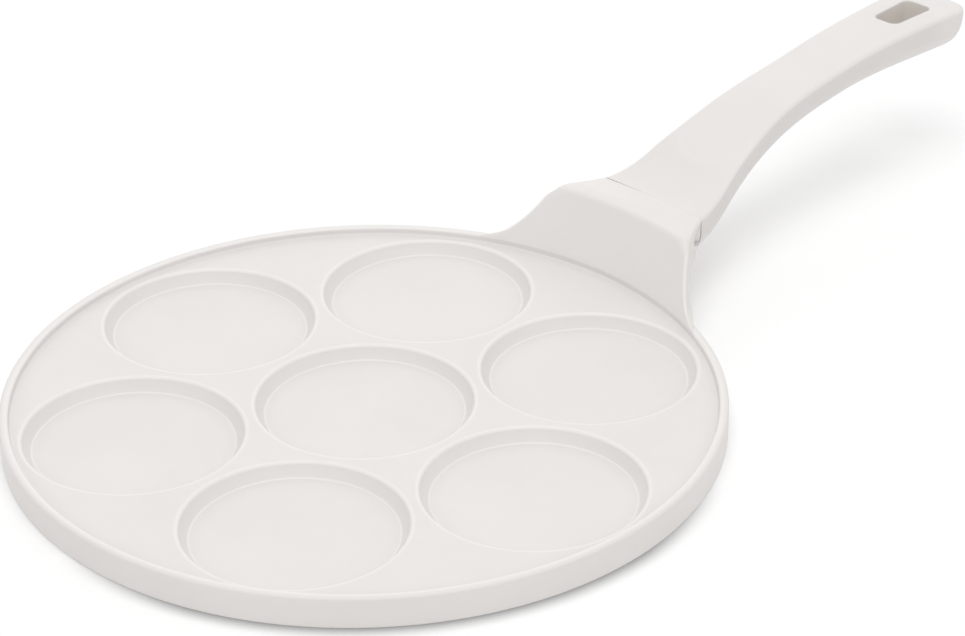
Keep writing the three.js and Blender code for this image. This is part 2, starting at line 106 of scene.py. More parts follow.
# %% Noise, tone and relief
NOISE_SPAN = (0.3, 0.7)
TONE_DETAIL = 3.0


def start_material(name):
    """A node material with its shader and Object coordinates."""
    material = bpy.data.materials.new(name)
    material.use_nodes = True
    nodes, links = material.node_tree.nodes, material.node_tree.links
    return material, nodes, links, nodes["Principled BSDF"], nodes.new("ShaderNodeTexCoord")


def noise(nodes, links, coords, scale, detail=TONE_DETAIL, stretch=None):
    """A noise pattern whose scale counts features in a metre."""
    source = coords.outputs["Object"]
    if stretch is not None:
        mapping = nodes.new("ShaderNodeMapping")
        mapping.inputs["Scale"].default_value = stretch
        links.new(source, mapping.inputs["Vector"])
        source = mapping.outputs["Vector"]
    made = nodes.new("ShaderNodeTexNoise")
    made.inputs["Scale"].default_value = scale
    made.inputs["Detail"].default_value = detail
    links.new(source, made.inputs["Vector"])
    return made.outputs["Fac"]


def map_range(nodes, links, value, source, target):
    """A number that goes from one span to another and is held at its ends."""
    made = nodes.new("ShaderNodeMapRange")
    made.inputs["From Min"].default_value, made.inputs["From Max"].default_value = source
    made.inputs["To Min"].default_value, made.inputs["To Max"].default_value = target
    links.new(value, made.inputs["Value"])
    return made.outputs["Result"]


def spread(nodes, links, pattern, low, high):
    """A number that goes from low to high over the middle of a noise pattern."""
    return map_range(nodes, links, pattern, NOISE_SPAN, (low, high))


def colour_mix(nodes):
    """A node that mixes two colours, with its two inputs and its result."""
    mix = nodes.new("ShaderNodeMix")
    mix.data_type = "RGBA"
    first, second = [s for s in mix.inputs if s.type == "RGBA"]
    result = [s for s in mix.outputs if s.type == "RGBA"][0]
    return mix, first, second, result


def blend_colours(nodes, links, factor, start, end):
    """A colour that goes from one to the other."""
    mix, first, second, result = colour_mix(nodes)
    links.new(factor, mix.inputs["Factor"])
    first.default_value, second.default_value = (*start, 1), (*end, 1)
    return result


def add_bump(nodes, links, shader, height, depth, strength):
    """Fine relief in the shading, of a real depth in metres."""
    bump = nodes.new("ShaderNodeBump")
    bump.inputs["Distance"].default_value = depth
    bump.inputs["Strength"].default_value = strength
    links.new(height, bump.inputs["Height"])
    links.new(bump.outputs["Normal"], shader.inputs["Normal"])


print("noise is spread over its middle range,", NOISE_SPAN)

# %% [markdown]
# ## The coat and the handle's skin
# The pan has one pale cream coat, sprayed on and baked: satin, a little uneven in tone over
# a few centimetres, with a fine orange-peel skin under one millimetre. Painted shade makes
# it darker in inner corners, which Ambient Occlusion finds, and a painted highlight makes it
# paler over edges. The handle has a matt soft-touch skin, with painted shade a little darker
# on the flanks. Edges and flanks could be found from the mesh's angles, but each piece knows
# them from its own sizes, so it writes them to an attribute named edge.

# %% Pale finishes
CREASE_REACH, CREASE_SAMPLES = 0.007, 8
TONE_SCALE, GLOSS_SCALE = 28, 160
SKIN_DETAIL, SKIN_BUMP = 2.0, 0.35


def shade_creases(nodes, links, colour, amount):
    """The same colour with painted shade, darker in inner corners a few millimetres wide."""
    near = nodes.new("ShaderNodeAmbientOcclusion")
    near.samples, near.only_local = CREASE_SAMPLES, True
    near.inputs["Distance"].default_value = CREASE_REACH
    mix, first, second, result = colour_mix(nodes)
    mix.blend_type = "MULTIPLY"
    mix.inputs["Factor"].default_value = amount
    links.new(colour, first)
    links.new(near.outputs["Color"], second)
    return result


def paint_edge_light_and_shade(nodes, links, colour, painted_edge_colour):
    """The same colour, going to another where the piece's own edge value is 1: a painted
    highlight on the casting, painted shade on the handle.
    """
    edge = nodes.new("ShaderNodeAttribute")
    edge.attribute_name = "edge"
    mix, first, second, result = colour_mix(nodes)
    second.default_value = (*painted_edge_colour, 1)
    links.new(edge.outputs["Fac"], mix.inputs["Factor"])
    links.new(colour, first)
    return result


def pale_coat(name, light, dark, gloss, grain, skin, crease_shade=0, painted_edge_colour=None):
    """A sprayed pale finish with uneven tone and a fine skin."""
    material, nodes, links, shader, coords = start_material(name)
    tone = spread(nodes, links, noise(nodes, links, coords, TONE_SCALE), 0, 1)
    colour = blend_colours(nodes, links, tone, light, dark)
    # The edge value paints a highlight on the casting and shade on the handle's flanks.
    if painted_edge_colour:
        colour = paint_edge_light_and_shade(nodes, links, colour, painted_edge_colour)
    # Painted shade in the inner corners.
    if crease_shade:
        colour = shade_creases(nodes, links, colour, crease_shade)
    links.new(colour, shader.inputs["Base Color"])
    patches = noise(nodes, links, coords, GLOSS_SCALE)
    links.new(spread(nodes, links, patches, *gloss), shader.inputs["Roughness"])
    peel = noise(nodes, links, coords, grain, SKIN_DETAIL)
    add_bump(nodes, links, shader, peel, skin, SKIN_BUMP)
    return material


# The coat gets painted shade in its inner corners and a paler painted highlight on its edges; the
# handle's skin gets darker painted shade on its flanks.
coat = pale_coat("cream_coat", light=(0.84, 0.81, 0.79), dark=(0.82, 0.79, 0.77),
                 gloss=(0.40, 0.50), grain=1400, skin=0.00002, crease_shade=0.23,
                 painted_edge_colour=(0.89, 0.865, 0.845))
soft_touch = pale_coat("soft_touch_skin", light=(0.85, 0.82, 0.80), dark=(0.83, 0.80, 0.78),
                       gloss=(0.52, 0.60), grain=2600, skin=0.00001,
                       painted_edge_colour=(0.785, 0.757, 0.738))
bare_moulding = pale_coat("bare_moulding", light=(0.785, 0.745, 0.705),
                          dark=(0.755, 0.715, 0.675), gloss=(0.55, 0.65), grain=2600,
                          skin=0.00001)
print("pale finishes:", [m.name for m in (coat, soft_touch, bare_moulding)])

# %% [markdown]
# ## The bare metals
# Three bare metals hide underneath: the rolled steel of the disc, the turned aluminium of
# the studs' ends, and the zinc on the screw and washers. Each shows the fine lines of how
# it was made. An anisotropic shader could hint at such lines, but shows none of them from
# near, so they are a noise that is stretched along one direction.

# %% Metal finishes
LINE_SCALE, LINE_DETAIL = 900, 4.0
LINE_DEPTH, LINE_BUMP = 0.00001, 0.3
LINE_SHADE = 0.8


def bare_metal(name, colour, gloss, stretch):
    """Bare metal with fine drawn lines along one direction."""
    material, nodes, links, shader, coords = start_material(name)
    shader.inputs["Metallic"].default_value = 1
    lines = noise(nodes, links, coords, LINE_SCALE, LINE_DETAIL, stretch)
    darker = tuple(LINE_SHADE * c for c in colour)
    links.new(blend_colours(nodes, links, lines, colour, darker), shader.inputs["Base Color"])
    links.new(spread(nodes, links, lines, *gloss), shader.inputs["Roughness"])
    add_bump(nodes, links, shader, lines, LINE_DEPTH, LINE_BUMP)
    return material


rolled_steel = bare_metal("rolled_steel", (0.56, 0.56, 0.57), (0.28, 0.40), (0.05, 1, 1))
turned_aluminium = bare_metal("turned_aluminium", (0.70, 0.70, 0.70), (0.30, 0.42), (1, 0.2, 1))
zinc = bare_metal("zinc_plate", (0.58, 0.59, 0.61), (0.25, 0.38), (1, 1, 0.3))
print("metals:", [m.name for m in (rolled_steel, turned_aluminium, zinc)])

# %% [markdown]
# ## The plate and its lip
# The casting starts as a round plate with a low lip. Every shape is modelled in
# millimetres and scaled to metres when it is finished, so the numbers stay easy to read.
# A cylinder could be the start, but then each corner has to be cut into it. Here one chain
# of edges, from the recess in the base, round the wall and over the lip, is spun about Z.
# Bevelling the finished rings gives the rounds that catch the light.

# %% Plate and lip
TINY = 0.01
PAN_RADIUS = 132.5
LIP_INNER = 129.1
LIP_FOOT = 128.8
LIP_Z = 12.2
FACE_EDGE = 127.4
FACE_Z = 9.6
DISC_RADIUS = 96.5
DISC_THICKNESS = 0.8
PRESS_GAP = 0.3
RIM_STEPS = 240
BASE_ROUND, WALL_ROUND, LIP_ROUND, FACE_ROUND, RECESS_ROUND = 1.2, 1.0, 1.0, 0.9, 0.15
ROUND_STEPS = 4


def turn(bm, points, steps):
    """Spins a chain through (radius, height) points about Z."""
    verts = [bm.verts.new((r, 0, z)) for r, z in points]
    edges = [bm.edges.new(pair) for pair in zip(verts, verts[1:])]
    bmesh.ops.spin(bm, geom=verts + edges, cent=(0, 0, 0), axis=(0, 0, 1), dvec=(0, 0, 0),
                   angle=math.tau, steps=steps, use_merge=True)


def ring_edges(bm, radius, height):
    """The edges of the circle of that radius and height about Z."""
    def on(v):
        return abs(v.co.xy.length - radius) < TINY and abs(v.co.z - height) < TINY
    return [e for e in bm.edges if on(e.verts[0]) and on(e.verts[1])]


def bevel(bm, edges, offset, steps):
    """Rounds edges with a circular profile."""
    bmesh.ops.bevel(bm, geom=edges, offset=offset, offset_type="OFFSET", segments=steps,
                    profile=0.5, affect="EDGES", material=-1, clamp_overlap=True)


pan = bmesh.new()
recess = DISC_RADIUS + PRESS_GAP
turn(pan, [(recess, DISC_THICKNESS), (recess, 0), (PAN_RADIUS, 0), (PAN_RADIUS, LIP_Z),
           (LIP_INNER, LIP_Z), (LIP_FOOT, FACE_Z), (FACE_EDGE, FACE_Z)], RIM_STEPS)
for radius, height, offset in ((PAN_RADIUS, 0, BASE_ROUND), (PAN_RADIUS, LIP_Z, WALL_ROUND),
                               (LIP_INNER, LIP_Z, LIP_ROUND), (LIP_FOOT, FACE_Z, FACE_ROUND),
                               (recess, 0, RECESS_ROUND)):
    bevel(pan, ring_edges(pan, radius, height), offset, ROUND_STEPS)
print("plate:", len(pan.faces), "faces")

# %% [markdown]
# ## The seven cups
# Each cup is a shallow round dish. Its wall starts steep and slopes more towards the floor,
# with a soft upper edge and a rounded foot. Cutting seven dishes into the plate would leave
# ragged edges to bevel. Instead one cup is spun with a narrow flat margin round it,
# bevelled, and copied to the seven places. The flat face is then filled between the
# margins, so the rounds stay even.

# %% Cups and face
FLOOR_Z = 4.75
CUP_RADIUS = 40.2
CUP_LEAN, CUP_STEEP = 3.55, 0.38
CUP_MARGIN = 1.6
CUP_EDGE, CUP_EDGE_STEPS = 0.7, 5
CUP_FOOT, CUP_FOOT_STEPS = 0.6, 6
CUP_STEPS, CUP_WALL_STEPS = 128, 5
CUP_PITCH = 85.4
OUTER_CUPS, FIRST_CUP_ANGLE = 6, 30


def one_cup():
    """A cup about Z, open at the top, with its margin."""
    cup = bmesh.new()
    floor_radius = CUP_RADIUS - CUP_LEAN
    deep = FACE_Z - FLOOR_Z
    bend = (CUP_LEAN - CUP_STEEP * deep) / deep**2
    depths = [deep * k / CUP_WALL_STEPS for k in range(CUP_WALL_STEPS + 1)]
    wall = [(CUP_RADIUS - CUP_STEEP * d - bend * d * d, FACE_Z - d) for d in depths]
    turn(cup, [(CUP_RADIUS + CUP_MARGIN, FACE_Z), *wall], CUP_STEPS)
    bmesh.ops.contextual_create(cup, geom=ring_edges(cup, floor_radius, FLOOR_Z))
    bevel(cup, ring_edges(cup, CUP_RADIUS, FACE_Z), CUP_EDGE, CUP_EDGE_STEPS)
    bevel(cup, ring_edges(cup, floor_radius, FLOOR_Z), CUP_FOOT, CUP_FOOT_STEPS)
    return cup


def add_copy(bm, shape, place):
    """Adds a moved copy of a shape."""
    mesh = bpy.data.meshes.new("copy")
    shape.to_mesh(mesh)
    mesh.transform(Matrix.Translation(place))
    bm.from_mesh(mesh)
    bpy.data.meshes.remove(mesh)


cup_places = [Vector((0, 0, 0))]
for i in range(OUTER_CUPS):
    turned = Matrix.Rotation(math.radians(FIRST_CUP_ANGLE + 360 / OUTER_CUPS * i), 3, "Z")
    cup_places.append(turned @ Vector((CUP_PITCH, 0, 0)))
cup = one_cup()
for place in cup_places:
    add_copy(pan, cup, place)
cup.free()
face_border = [e for e in pan.edges
               if e.is_boundary and all(abs(v.co.z - FACE_Z) < TINY for v in e.verts)]
bmesh.ops.triangle_fill(pan, use_beauty=True, edges=face_border, normal=(0, 0, 1))
print("cups:", len(cup_places), "and the face between them")

# %% [markdown]
# ## The studs in the base
# The casting fills the holes of the steel disc, so round studs show flush with the disc.
# They could be cylinders joined on by booleans, but thirty-six of those are slow. Circles
# are made at the foot and extruded up to the recess, and the ceiling is filled round them.

# %% Studs and recess
STUD_RADIUS = 3.5
STUD_PITCH = 24
STUD_STEPS = 24
STUD_RINGS = (6, 12, 18)
WELD = 0.0005


def only(kind, geom):
    """The vertices, edges or faces in what an operator made."""
    return [g for g in geom if isinstance(g, kind)]


def open_edges(bm):
    """How many edges don't have exactly two faces."""
    return sum(len(e.link_faces) != 2 for e in bm.edges)


def add_stud(bm, place):
    """A stud that hangs from the recess, open at the top."""
    made = bmesh.ops.create_circle(bm, cap_ends=True, segments=STUD_STEPS, radius=STUD_RADIUS,
                                   matrix=Matrix.Translation(place))
    end = made["verts"][0].link_faces[0]
    walls = bmesh.ops.extrude_edge_only(bm, edges=list(end.edges))
    rim = only(bmesh.types.BMVert, walls["geom"])
    bmesh.ops.translate(bm, vec=(0, 0, DISC_THICKNESS), verts=rim)


stud_places = []
for ring, count in enumerate(STUD_RINGS):
    out = Vector((STUD_PITCH * (ring + 1), 0, 0))
    stud_places += [Matrix.Rotation(math.tau * i / count, 3, "Z") @ out for i in range(count)]
for place in stud_places:
    add_stud(pan, place)
ceiling = [e for e in pan.edges if e.is_boundary]
bmesh.ops.triangle_fill(pan, use_beauty=True, edges=ceiling, normal=(0, 0, -1))
bmesh.ops.remove_doubles(pan, verts=pan.verts, dist=WELD)
bmesh.ops.recalc_face_normals(pan, faces=pan.faces)
print("studs:", len(stud_places), "open edges:", open_edges(pan))

# %% [markdown]
# ## The saddle's lines
# The saddle grows out of the lip and carries the handle: a leaning front on the pan's own
# curve, flanks that flare into the lip, and a flat top. Its lines could be Bezier curves
# drawn in the editor. Here they are knots with a place, a value and a slope, so that each
# size can be read and changed.

# %% Lines of the saddle
SADDLE_RISE = 22.2
SADDLE_Z = LIP_Z + SADDLE_RISE
SADDLE_LEAN = 11.8
FLARE = ((0, 58, -4), (4, 48.5, -1.1), (SADDLE_RISE, 36.5, -0.55))
FLUSH = 0.05
SEAM_X = 156.0
SEAM_HALF = 26.0
SEAM_CURVE, SEAM_SHIFT = 1.0, 0.4


def ease(value, low, high):
    """Goes smoothly from 0 at low to 1 at high."""
    t = min(max((value - low) / (high - low), 0), 1)
    return t * t * (3 - 2 * t)


def curve(knots, place):
    """A smooth line through knots given as (place, value, slope)."""
    i = max(k for k in range(len(knots) - 1) if k == 0 or place >= knots[k][0])
    (x0, y0, m0), (x1, y1, m1) = knots[i], knots[i + 1]
    span = x1 - x0
    t = min(max((place - x0) / span, 0), 1)
    return y0 + (y1 - y0) * ease(place, x0, x1) + span * t * (1 - t) * ((1 - t) * m0 - t * m1)


def seam_x(y):
    """Where the seam lies: it bows a little towards the handle."""
    return SEAM_X + SEAM_CURVE * (SEAM_SHIFT - (y / SEAM_HALF) ** 2)


def saddle_corner(z, side):
    """Where the front and one flank would meet at a height if they weren't rounded."""
    rise = max(z - LIP_Z, 0)
    radius = LIP_INNER - FLUSH + SADDLE_LEAN * rise / SADDLE_RISE
    across = curve(FLARE, rise)
    return Vector((math.sqrt(radius**2 - across**2), side * across))


print("saddle's corners at the lip and on top, mm:",
      [[round(c, 1) for c in saddle_corner(z, 1)] for z in (LIP_Z, SADDLE_Z)])

# %% [markdown]
# ## The saddle's outlines
# A level cut through the saddle shows half an outline of five stretches: the front's arc,
# a rounded corner, the bowed flank, a small heel and the seam. Further down, the outline is
# drawn in, because the belly rounds under. One function gives it for any height, and with
# an inset it gives the hollow inside.

# %% Outlines of the saddle
SADDLE_BOW, TOP_BOW = 2.4, 1.6
SADDLE_TOE = 5.5
SIDE_WALL = 8.5
CORNER_ROUND, TOP_CORNER, CORNER_DROP = 4.5, 9.5, 5
HEEL_BACK, HEEL_IN, HEEL_EDGE, HEEL_DROP = 1.5, 0.8, 0.3, 5
ROOT_DEPTH, ROOT_HALF = 17.2, 25.6
BELLY_ROUND = 11
KEEL = 0.1
UNDER_SLOPE = (SADDLE_Z - ROOT_DEPTH - SADDLE_TOE) / (SEAM_X - PAN_RADIUS)
FRONT_STEPS, FLANK_STEPS, SEAM_STEPS, ARC_STEPS = 20, 14, 10, 6


def tuck(height, radius):
    """How far a rounded edge draws a side in, at a height above the surface it meets."""
    below = min(max(radius - height, 0), radius)
    return radius - math.sqrt(radius * radius - below * below)


def bezier(a, b, c, t):
    """A point of the curve from a to c that leans towards b."""
    return a.lerp(b, t).lerp(b.lerp(c, t), t)


def spaced(low, high, count):
    """Even steps from low, up to but without high."""
    return [low + (high - low) * i / count for i in range(count)]


def saddle_plan(z, edge, inset):
    """Half of the saddle's flat outline at one height, from its front to the seam's middle."""
    rise = max(z - LIP_Z, 0)
    wall = inset * math.hypot(1, SADDLE_LEAN / SADDLE_RISE)
    low = (LIP_INNER - LIP_FOOT) * min(max(LIP_Z - z, 0) / (LIP_Z - FACE_Z), 1)
    face = LIP_INNER - FLUSH - low + SADDLE_LEAN * rise / SADDLE_RISE + edge + wall
    radius = max(face, PAN_RADIUS) if inset else face
    corner_y = curve(FLARE, rise) - edge - (SIDE_WALL if inset else 0)
    corner = Vector((math.sqrt(radius**2 - corner_y**2), corner_y))
    heel = Vector((seam_x(SEAM_HALF) - inset, SEAM_HALF - edge - wall))
    along = heel - corner
    bow = SADDLE_BOW + (TOP_BOW - SADDLE_BOW) * rise / SADDLE_RISE
    middle = corner.lerp(heel, 0.5) + Vector((along.y, -along.x)).normalized() * bow
    corner_round = TOP_CORNER + (CORNER_ROUND - TOP_CORNER) * ease(SADDLE_Z - z, 0, CORNER_DROP)
    arc_end = math.asin(corner_y / radius) - corner_round / radius
    turns = spaced(0, arc_end, FRONT_STEPS) + [arc_end]
    front = [Vector((radius * math.cos(a), radius * math.sin(a))) for a in turns]
    grown = HEEL_EDGE + (1 - HEEL_EDGE) * ease(SADDLE_Z - z, 0, HEEL_DROP)
    start, end = corner_round / along.length, 1 - HEEL_BACK * grown / along.length
    flank = [bezier(corner, middle, heel, t) for t in spaced(start, end, FLANK_STEPS) + [end]]
    seam_end = heel.y - HEEL_IN * grown
    seam = [Vector((seam_x(y) - inset, y)) for y in spaced(seam_end, 0, SEAM_STEPS) + [0]]
    bends = [bezier(front[-1], corner, flank[0], t) for t in spaced(0, 1, ARC_STEPS)]
    heels = [flank[-1].lerp(seam[0], t) for t in spaced(0, 1, ARC_STEPS)]
    return front[:-1] + bends + flank[:-1] + heels + seam


def saddle_half(z, edge, inset):
    """That half outline at its height, drawn in where the belly rounds under."""
    upright = 1 / math.hypot(1, UNDER_SLOPE)
    half = []
    for p in saddle_plan(z, edge, inset):
        under = SADDLE_TOE + UNDER_SLOPE * (p.x - PAN_RADIUS)
        drawn = p.y - tuck((z - under) * upright - inset, BELLY_ROUND)
        half.append(Vector((p.x, max(drawn, KEEL * p.y), z)))
    return half


def saddle_ring(z, edge=0, inset=0):
    """The whole outline at one height."""
    half = saddle_half(z, edge, inset)
    mirrored = [Vector((p.x, -p.y, p.z)) for p in half[1:-1]]
    return [half[0], *mirrored, half[-1], *reversed(half[1:-1])]


print("points round the saddle:", len(saddle_ring(SADDLE_Z)))

# %% [markdown]
# ## The saddle's body
# The saddle could be sculpted, but outlines at rising heights follow the flare exactly, so
# it is a loft: rings of equally many points, bridged one to the next and closed at both
# ends. The heights crowd together at the foot, where the flare turns fastest.

# %% Loft of the saddle
RIDGE_ROUND, HOLLOW_ROUND = 1.3, 0.5
TOE_SINK = 0.5
TOE_LEVELS, LIP_LEVELS, FLARE_LEVELS, FLARE_CROWD = 16, 8, 48, 1.6


def loop(bm, points):
    """A closed chain of edges through points."""
    verts = [bm.verts.new(p) for p in points]
    return [bm.edges.new((a, b)) for a, b in zip(verts, verts[1:] + verts[:1])]


def loft(rings):
    """A closed solid through rings of equally many points."""
    bm = bmesh.new()
    loops = [loop(bm, ring) for ring in rings]
    for low, high in zip(loops, loops[1:]):
        bmesh.ops.bridge_loops(bm, edges=low + high)
    for end in (loops[0], loops[-1]):
        bmesh.ops.contextual_create(bm, geom=end)
    bmesh.ops.recalc_face_normals(bm, faces=bm.faces)
    return bm


def saddle_solid(inset=0):
    """The saddle, or with an inset the hollow inside it."""
    top = SADDLE_Z - inset
    edge_round = HOLLOW_ROUND if inset else RIDGE_ROUND
    rise = top - edge_round - LIP_Z
    levels = spaced(SADDLE_TOE - TOE_SINK, FACE_Z, TOE_LEVELS) + spaced(FACE_Z, LIP_Z, LIP_LEVELS)
    levels += [LIP_Z + rise * (i / FLARE_LEVELS) ** FLARE_CROWD for i in range(FLARE_LEVELS + 1)]
    rings = [saddle_ring(z, 0, inset) for z in levels]
    for k in range(1, ARC_STEPS + 1):
        angle = math.pi / 2 * k / ARC_STEPS
        rings.append(saddle_ring(top - edge_round + edge_round * math.sin(angle),
                                 edge_round * (1 - math.cos(angle)), inset))
    return loft(rings)


saddle = saddle_solid()
print("saddle:", len(saddle.faces), "faces before it is cut")

# %% [markdown]
# ## Cuts in the saddle
# Below, the saddle is hollow on both sides of a rib, as castings are, to keep the walls
# even, and it is cut off along a slope that meets the handle's belly. Beside the seam a
# small scoop shows where the flare stops at the handle's flank. These are plain cuts by
# other solids. The exact boolean is slower than the fast one, but leaves no open edges.

# %% Hollows, slope and scoops
SADDLE_WALL = 3.6
TENON_WIDTH = 20
BEYOND = 2 * PAN_RADIUS
TOP_EDGE, TOP_EDGE_STEPS, BELLY_STEPS = 1.6, 6, 12
SCOOP_PLACE, SCOOP_REACH, SCOOP_HALF = (156.5, 0, 29.2), 10.5, 4.5
SCOOP_STEPS = 64


def box(size, place, matrix=Matrix()):
    """A block of that size with its middle at that place."""
    bm = bmesh.new()
    bmesh.ops.create_cube(bm, size=1, matrix=matrix @ Matrix.Translation(place)
                          @ Matrix.Diagonal((*size, 1)))
    return bm


def rod(radius, bottom, top, steps, matrix=Matrix()):
    """A cylinder on Z between two heights."""
    bm = bmesh.new()
    middle = Matrix.Translation((0, 0, (bottom + top) / 2))
    bmesh.ops.create_cone(bm, cap_ends=True, segments=steps, radius1=radius, radius2=radius,
                          depth=top - bottom, matrix=matrix @ middle)
    return bm


def combine(body, tool, how):
    """Joins or cuts two solids with the exact boolean, and returns the new one."""
    objects = []
    for shape in (body, tool):
        mesh = bpy.data.meshes.new("shape")
        shape.to_mesh(mesh)
        shape.free()
        objects.append(bpy.data.objects.new("shape", mesh))
        bpy.context.scene.collection.objects.link(objects[-1])
    cut = objects[0].modifiers.new("cut", "BOOLEAN")
    cut.operation, cut.solver, cut.object = how, "EXACT", objects[1]
    bpy.context.view_layer.update()
    made = bmesh.new()
    made.from_object(objects[0], bpy.context.evaluated_depsgraph_get())
    for used in objects:
        mesh = used.data
        bpy.data.objects.remove(used)
        bpy.data.meshes.remove(mesh)
    return made


def long_edges(bar):
    """The edges that run along a bar."""
    return [e for e in bar.edges if abs(e.verts[0].co.x - e.verts[1].co.x) > TINY]


def round_bar(bar, top):
    """Rounds the long edges of a bar: a little at its top, and much at its belly."""
    along = long_edges(bar)
    upper = [e for e in along if e.verts[0].co.z > top - TINY]
    lower = [e for e in along if e.verts[0].co.z < top - TINY]
    bevel(bar, upper, TOP_EDGE, TOP_EDGE_STEPS)
    bevel(bar, lower, BELLY_ROUND, BELLY_STEPS)


def scoop_tool():
    """The space beside the seam, outside the handle's section there."""
    across = Matrix.Translation(SCOOP_PLACE) @ Matrix.Diagonal((SCOOP_REACH, 1, SCOOP_HALF, 1))
    bar = rod(1, -2 * SEAM_HALF, 2 * SEAM_HALF, SCOOP_STEPS,
              across @ Matrix.Rotation(math.pi / 2, 4, "X"))
    root = box((4 * SCOOP_REACH, 2 * ROOT_HALF, ROOT_DEPTH),
               (SEAM_X, 0, SADDLE_Z - ROOT_DEPTH / 2))
    round_bar(root, SADDLE_Z)
    return combine(bar, root, "DIFFERENCE")


rib = box((PAN_RADIUS, TENON_WIDTH, BEYOND), (PAN_RADIUS, 0, 0))
hollows = combine(saddle_solid(SADDLE_WALL), rib, "DIFFERENCE")
under_frame = (Matrix.Translation((PAN_RADIUS, 0, SADDLE_TOE))
               @ Matrix.Rotation(-math.atan(UNDER_SLOPE), 4, "Y"))
under = box((BEYOND, BEYOND, BEYOND), (0, 0, -BEYOND / 2), under_frame)
for tool in (hollows, under, scoop_tool()):
    saddle = combine(saddle, tool, "DIFFERENCE")
print("saddle:", len(saddle.faces), "faces, open edges:", open_edges(saddle))

# %% [markdown]
# ## The tenon
# A flat tenon is cast on the saddle's end. It reaches into the handle and takes the screw,
# so it tilts with the handle. It can't be seen, but the handle would hang in the air
# without it. It is a bevelled block with a round hole, made level and then tilted, because
# a block is easiest to bevel before it is turned.

# %% Tenon
TENON_LENGTH = 30
TENON_THICKNESS = 4.6
TENON_ROUND = 1.2
TENON_DROP = 7.6
TENON_TILT = math.radians(19)
SCREW_REACH = 18.5
SCREW_RADIUS = 2.5
THREAD_GAP = 0.3
BORE, BORE_STEPS = SCREW_RADIUS + THREAD_GAP, 32
tenon_frame = (Matrix.Translation((SEAM_X, 0, SADDLE_Z - TENON_DROP))
               @ Matrix.Rotation(-TENON_TILT, 4, "Y"))
screw_frame = tenon_frame @ Matrix.Translation((SCREW_REACH, 0, 0))


def tenon_bar(end, gap):
    """The tenon, or with a gap the socket round it."""
    size = (end + SADDLE_WALL, TENON_WIDTH + 2 * gap, TENON_THICKNESS + 2 * gap)
    bar = box(size, ((end - SADDLE_WALL) / 2, 0, 0))
    bevel(bar, long_edges(bar), TENON_ROUND, ROUND_STEPS)
    bmesh.ops.transform(bar, matrix=tenon_frame, verts=bar.verts)
    return bar


pan = combine(pan, saddle, "UNION")
pan = combine(pan, tenon_bar(TENON_LENGTH, 0), "UNION")
screw_hole = rod(BORE, -TENON_WIDTH, TENON_WIDTH, BORE_STEPS, screw_frame)
pan = combine(pan, screw_hole, "DIFFERENCE")
print("casting:", len(pan.faces), "faces, open edges:", open_edges(pan))

# %% [markdown]
# ## Finishing the casting
# A finished piece is welded, scaled to metres and tied to the frame: it rides on a body
# and stands for a solid. The studs' ends are turned bare, so they get the metal and not
# the coat. The edges and feet of the cups, the lip and the saddle's corners get the edge
# value, which paints a highlight on them.

# %% Finished casting
MM = 0.001
SHARP_ANGLE = 35
CORNER_EDGE = 2.6
FOOT_BAND = 0.7 * CUP_FOOT


def paint(bm, chosen):
    """Gives the second finish to the faces that are chosen by their middle and normal."""
    bmesh.ops.recalc_face_normals(bm, faces=bm.faces)
    for face in bm.faces:
        face.material_index = int(chosen(face.calc_center_median(), face.normal))


def finish(bm, name, node, materials, sharp=SHARP_ANGLE, edge_value=None):
    """Makes the shape a piece that stands for a solid of the frame."""
    bmesh.ops.remove_doubles(bm, verts=bm.verts, dist=WELD)
    bmesh.ops.dissolve_degenerate(bm, edges=bm.edges, dist=WELD)
    bmesh.ops.recalc_face_normals(bm, faces=bm.faces)
    if edge_value:
        edge = bm.verts.layers.float.new("edge")
        for v in bm.verts:
            v[edge] = edge_value(v.co)
    bmesh.ops.scale(bm, vec=(MM, MM, MM), verts=bm.verts)
    mesh = bpy.data.meshes.new(name)
    gaps = open_edges(bm)
    bm.to_mesh(mesh)
    bm.free()
    mesh.shade_smooth()
    mesh.set_sharp_from_angle(angle=math.radians(sharp))
    for material in materials:
        mesh.materials.append(material)
    piece = bpy.data.objects.new(name, mesh)
    bpy.context.scene.collection.objects.link(piece)
    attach(piece, "root")
    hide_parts(node)
    print(f"{name}: {len(mesh.polygons)} faces, {gaps} open edges")


def stud_end(p, normal):
    """True on the flush end of a stud."""
    return p.z < TINY and any((p.xy - q.xy).length < STUD_RADIUS for q in stud_places)


def painted_highlight(p):
    """1 on the cups' edges and feet, the lip and the saddle's corners, where a highlight is
    painted, and 0 elsewhere.
    """
    if p.z > LIP_Z + TINY:
        reach = (p.xy - saddle_corner(p.z, math.copysign(1, p.y))).length
        return ease(p.z, LIP_Z, LIP_Z + CORNER_DROP) * float(reach < CORNER_EDGE)
    out = min((p.xy - q.xy).length for q in cup_places) - CUP_RADIUS
    cup_edge = p.z > FACE_Z - CUP_EDGE and abs(out) < CUP_EDGE + TINY
    in_foot = FLOOR_Z - TINY < p.z < FLOOR_Z + CUP_FOOT
    cup_foot = in_foot and abs(out + CUP_LEAN) < FOOT_BAND
    lip = p.z > LIP_Z - LIP_ROUND / 2 and abs(p.xy.length - LIP_INNER) < LIP_ROUND + TINY
    return float(cup_edge or cup_foot or lip)


paint(pan, stud_end)
# The edge value paints a highlight on the cups' edges and feet, the lip and the saddle's corners.
finish(pan, "cast_pan", "pan_body", [coat, turned_aluminium],
       edge_value=painted_highlight)

# %% [markdown]
# ## The steel disc
# Induction hobs need steel, so a thin punched disc is pressed into the aluminium. It is a
# flat sheet with round holes. A cylinder cut by thirty-six others would do, but circles
# that are filled to a sheet and extruded to its thickness make it at once. A hair of bevel
# on the punched edges makes them catch light.

# %% Disc
PUNCH_ROUND, PUNCH_STEPS = 0.08, 2
SHARP_TURN = 1


def sharp_edges(bm):
    """The edges where two faces turn by more than the sharp turn, in radians."""
    return [e for e in bm.edges if len(e.link_faces) == 2 and e.calc_face_angle() > SHARP_TURN]


